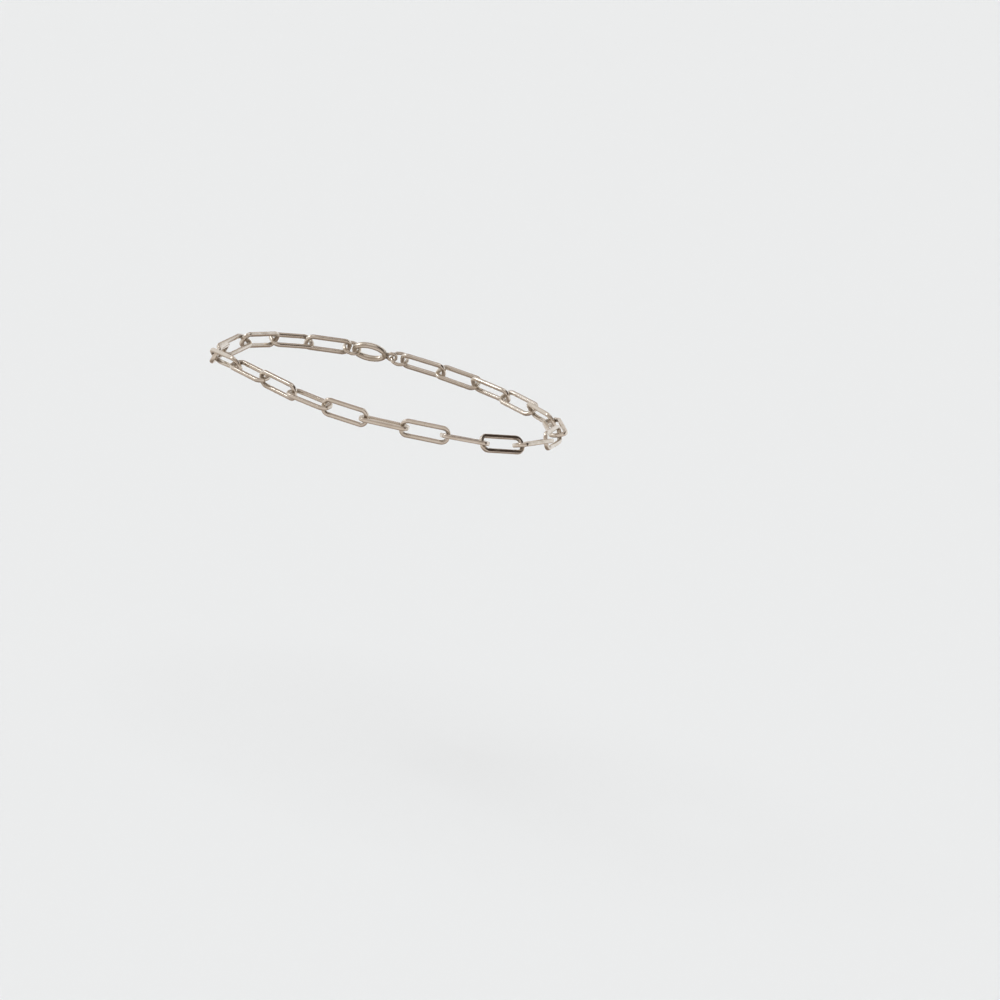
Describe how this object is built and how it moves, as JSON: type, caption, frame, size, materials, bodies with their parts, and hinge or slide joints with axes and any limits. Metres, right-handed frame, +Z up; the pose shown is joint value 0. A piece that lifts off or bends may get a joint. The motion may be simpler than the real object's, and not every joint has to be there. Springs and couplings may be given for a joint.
{
  "type": "chain anklet",
  "caption": "Closed loop of long round-ended wire links, each hooked a quarter turn from the next, fastened by an oval clasp between two jump rings, held in the shape it takes when worn.",
  "frame": {"origin": "centre of the ankle opening, at the height of the chain", "axes": "+X to the front of the foot, +Y to the inner side of the ankle where the clasp lies, +Z up along the leg; the loop lies level in XY"},
  "size_m": [0.0912, 0.0717, 0.0063],
  "materials": {
    "link_silver": "polished silver with a faint warm tone, fine wear marks",
    "jump_ring_silver": "drawn silver wire, polished",
    "clasp_silver": "cast silver, tumble polished, slightly softer than the links"
  },
  "bodies": {
    "root": {"link_01": "link_silver", "link_02": "link_silver", "link_03": "link_silver", "link_04": "link_silver", "link_05": "link_silver", "link_06": "link_silver", "link_07": "link_silver", "link_08": "link_silver", "link_09": "link_silver", "link_10": "link_silver", "link_11": "link_silver", "link_12": "link_silver", "link_13": "link_silver", "link_14": "link_silver", "link_15": "link_silver", "link_16": "link_silver", "link_17": "link_silver", "link_18": "link_silver", "link_19": "link_silver", "link_20": "link_silver", "link_21": "link_silver", "link_22": "link_silver", "jump_ring_1": "jump_ring_silver", "clasp": "clasp_silver", "jump_ring_2": "jump_ring_silver"}
  },
  "joints": []
}
